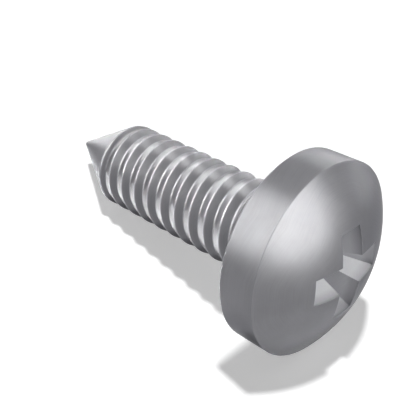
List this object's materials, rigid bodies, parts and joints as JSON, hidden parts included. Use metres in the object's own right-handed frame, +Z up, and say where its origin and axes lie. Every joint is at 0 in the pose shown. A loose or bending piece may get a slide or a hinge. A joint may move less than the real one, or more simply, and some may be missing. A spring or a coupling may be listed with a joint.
{
  "type": "self-tapping screw",
  "caption": "Pan head self-tapping screw with a domed head, a cross recess, a coarse thread and a cone point, lying on its side.",
  "frame": {"origin": "centre of the bounding box on the floor that the screw lies on", "axes": "+X runs along the floor from the tip to the head, with the screw's axis in the XZ plane and raised 12.3 degrees towards the head; +Z is up"},
  "size_m": [0.0389, 0.02, 0.0203],
  "materials": {
    "steel": "satin plain steel, neutral mid grey"
  },
  "bodies": {
    "root": {"screw": "steel"}
  },
  "joints": []
}
